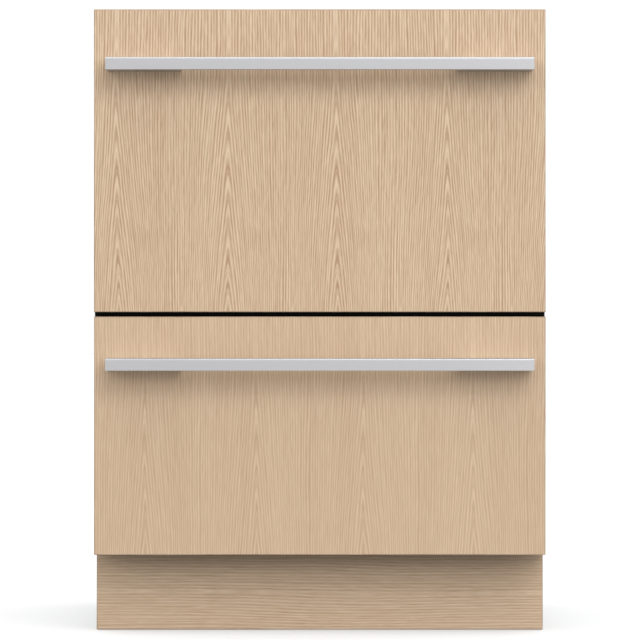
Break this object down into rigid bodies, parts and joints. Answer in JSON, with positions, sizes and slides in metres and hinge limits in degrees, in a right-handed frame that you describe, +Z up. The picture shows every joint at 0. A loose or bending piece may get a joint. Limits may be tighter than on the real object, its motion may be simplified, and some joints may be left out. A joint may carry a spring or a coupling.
{
  "type": "double drawer dishwasher",
  "caption": "Built-in dishwasher with two stacked pull-out drawers behind oak-veneered doors, bar handles and a recessed toe kick; tubs, racks, lids and runners inside.",
  "frame": {"origin": "on the floor under the middle of the machine's bounding box", "axes": "+X to the right seen from the front, +Y towards the back wall, +Z up; the doors face -Y"},
  "size_m": [0.598, 0.613, 0.8245],
  "materials": {
    "oak_veneer": "matt lacquered oak veneer, straight grain",
    "brushed_aluminium": "fine brushed, clear anodised",
    "black_plastic": "fine grained",
    "key_grey": "smooth satin",
    "galvanised_steel": "zinc coated sheet",
    "runner_steel": "bright rolled",
    "tray_plastic": "moulded, dark grey",
    "tub_plastic": "moulded, light grey",
    "lid_plastic": "moulded, mid grey",
    "seal_rubber": "soft, matt",
    "spray_plastic": "smooth",
    "filter_steel": "perforated stainless sheet",
    "motor_plastic": "moulded",
    "rack_nylon": "coated wire",
    "dispenser_plastic": "smooth white",
    "foot_plastic": "moulded",
    "valve_white": "moulded"
  },
  "bodies": {
    "chassis": {"chassis_side_left": "galvanised_steel", "chassis_side_right": "galvanised_steel", "chassis_back": "galvanised_steel", "chassis_top": "galvanised_steel", "middle_crossmember": "black_plastic", "base_tray": "tray_plastic", "toe_kick": "oak_veneer", "inlet_valve": "valve_white", "drain_outlet": "tray_plastic", "cable_gland": "black_plastic", "control_module": "motor_plastic", "lower_rail_outer_left": "runner_steel", "lower_rail_outer_right": "runner_steel", "upper_rail_outer_left": "runner_steel", "upper_rail_outer_right": "runner_steel"},
    "foot_front_left": {"foot_front_left": "foot_plastic"},
    "foot_front_right": {"foot_front_right": "foot_plastic"},
    "foot_rear_left": {"foot_rear_left": "foot_plastic"},
    "foot_rear_right": {"foot_rear_right": "foot_plastic"},
    "lower_drawer": {"lower_door_panel": "oak_veneer", "lower_handle_bar": "brushed_aluminium", "lower_handle_foot_left": "brushed_aluminium", "lower_handle_foot_right": "brushed_aluminium", "lower_front_frame": "black_plastic", "lower_rail_inner_left": "runner_steel", "lower_rail_inner_right": "runner_steel", "lower_tub": "tub_plastic", "lower_filter_plate": "filter_steel", "lower_wash_motor": "motor_plastic", "lower_rack": "rack_nylon", "lower_dispenser": "dispenser_plastic"},
    "lower_middle_rails": {"lower_rail_middle_left": "runner_steel", "lower_rail_middle_right": "runner_steel"},
    "lower_lid": {"lower_lid": "lid_plastic", "lower_lid_seal": "seal_rubber"},
    "lower_spray_arm": {"lower_spray_arm": "spray_plastic"},
    "lower_power_key": {"lower_power_key": "key_grey"},
    "lower_start_key": {"lower_start_key": "key_grey"},
    "lower_dispenser_door": {"lower_dispenser_door": "key_grey"},
    "upper_drawer": {"upper_door_panel": "oak_veneer", "upper_handle_bar": "brushed_aluminium", "upper_handle_foot_left": "brushed_aluminium", "upper_handle_foot_right": "brushed_aluminium", "upper_front_frame": "black_plastic", "upper_rail_inner_left": "runner_steel", "upper_rail_inner_right": "runner_steel", "upper_tub": "tub_plastic", "upper_filter_plate": "filter_steel", "upper_wash_motor": "motor_plastic", "upper_rack": "rack_nylon", "upper_dispenser": "dispenser_plastic"},
    "upper_middle_rails": {"upper_rail_middle_left": "runner_steel", "upper_rail_middle_right": "runner_steel"},
    "upper_lid": {"upper_lid": "lid_plastic", "upper_lid_seal": "seal_rubber"},
    "upper_spray_arm": {"upper_spray_arm": "spray_plastic"},
    "upper_power_key": {"upper_power_key": "key_grey"},
    "upper_start_key": {"upper_start_key": "key_grey"},
    "upper_dispenser_door": {"upper_dispenser_door": "key_grey"},
    "upper_cup_shelf": {"upper_cup_shelf": "rack_nylon"}
  },
  "joints": [
    {"name": "foot_front_left_screw", "type": "slide", "parent": "chassis", "child": "foot_front_left", "axis": [0, 0, -1], "range_m": [0, 0.03]},
    {"name": "foot_front_right_screw", "type": "slide", "parent": "chassis", "child": "foot_front_right", "axis": [0, 0, -1], "range_m": [0, 0.03]},
    {"name": "foot_rear_left_screw", "type": "slide", "parent": "chassis", "child": "foot_rear_left", "axis": [0, 0, -1], "range_m": [0, 0.03]},
    {"name": "foot_rear_right_screw", "type": "slide", "parent": "chassis", "child": "foot_rear_right", "axis": [0, 0, -1], "range_m": [0, 0.03]},
    {"name": "lower_drawer_slide", "type": "slide", "parent": "chassis", "child": "lower_drawer", "axis": [0, -1, 0], "range_m": [0, 0.44]},
    {"name": "lower_middle_rails_slide", "type": "slide", "parent": "chassis", "child": "lower_middle_rails", "axis": [0, -1, 0], "range_m": [0, 0.22]},
    {"name": "lower_lid_drop", "type": "slide", "parent": "chassis", "child": "lower_lid", "axis": [0, 0, -1], "range_m": [0, 0.0096]},
    {"name": "lower_spray_arm_spin", "type": "hinge", "parent": "lower_drawer", "child": "lower_spray_arm", "pos_m": [0, 0.0215, 0.187], "axis": [0, 0, 1], "continuous": true},
    {"name": "lower_dispenser_door_slide", "type": "slide", "parent": "lower_drawer", "child": "lower_dispenser_door", "axis": [1, 0, 0], "range_m": [0, 0.064]},
    {"name": "lower_power_key_press", "type": "slide", "parent": "lower_drawer", "child": "lower_power_key", "axis": [0, 0, -1], "range_m": [0, 0.001], "stiffness_N_per_m": 500, "springref_m": -0.001},
    {"name": "lower_start_key_press", "type": "slide", "parent": "lower_drawer", "child": "lower_start_key", "axis": [0, 0, -1], "range_m": [0, 0.001], "stiffness_N_per_m": 500, "springref_m": -0.001},
    {"name": "upper_drawer_slide", "type": "slide", "parent": "chassis", "child": "upper_drawer", "axis": [0, -1, 0], "range_m": [0, 0.44]},
    {"name": "upper_middle_rails_slide", "type": "slide", "parent": "chassis", "child": "upper_middle_rails", "axis": [0, -1, 0], "range_m": [0, 0.22]},
    {"name": "upper_lid_drop", "type": "slide", "parent": "chassis", "child": "upper_lid", "axis": [0, 0, -1], "range_m": [0, 0.0096]},
    {"name": "upper_spray_arm_spin", "type": "hinge", "parent": "upper_drawer", "child": "upper_spray_arm", "pos_m": [0, 0.0215, 0.53], "axis": [0, 0, 1], "continuous": true},
    {"name": "upper_dispenser_door_slide", "type": "slide", "parent": "upper_drawer", "child": "upper_dispenser_door", "axis": [1, 0, 0], "range_m": [0, 0.064]},
    {"name": "upper_power_key_press", "type": "slide", "parent": "upper_drawer", "child": "upper_power_key", "axis": [0, 0, -1], "range_m": [0, 0.001], "stiffness_N_per_m": 500, "springref_m": -0.001},
    {"name": "upper_start_key_press", "type": "slide", "parent": "upper_drawer", "child": "upper_start_key", "axis": [0, 0, -1], "range_m": [0, 0.001], "stiffness_N_per_m": 500, "springref_m": -0.001},
    {"name": "upper_cup_shelf_fold", "type": "hinge", "parent": "upper_drawer", "child": "upper_cup_shelf", "pos_m": [-0.2603, 0.0276, 0.6506], "axis": [0, -1, 0], "range_deg": [0, 88]}
  ],
  "couplings": [
    {"joint": "lower_middle_rails_slide", "follows": "lower_drawer_slide", "ratio": 0.5},
    {"joint": "upper_middle_rails_slide", "follows": "upper_drawer_slide", "ratio": 0.5}
  ]
}
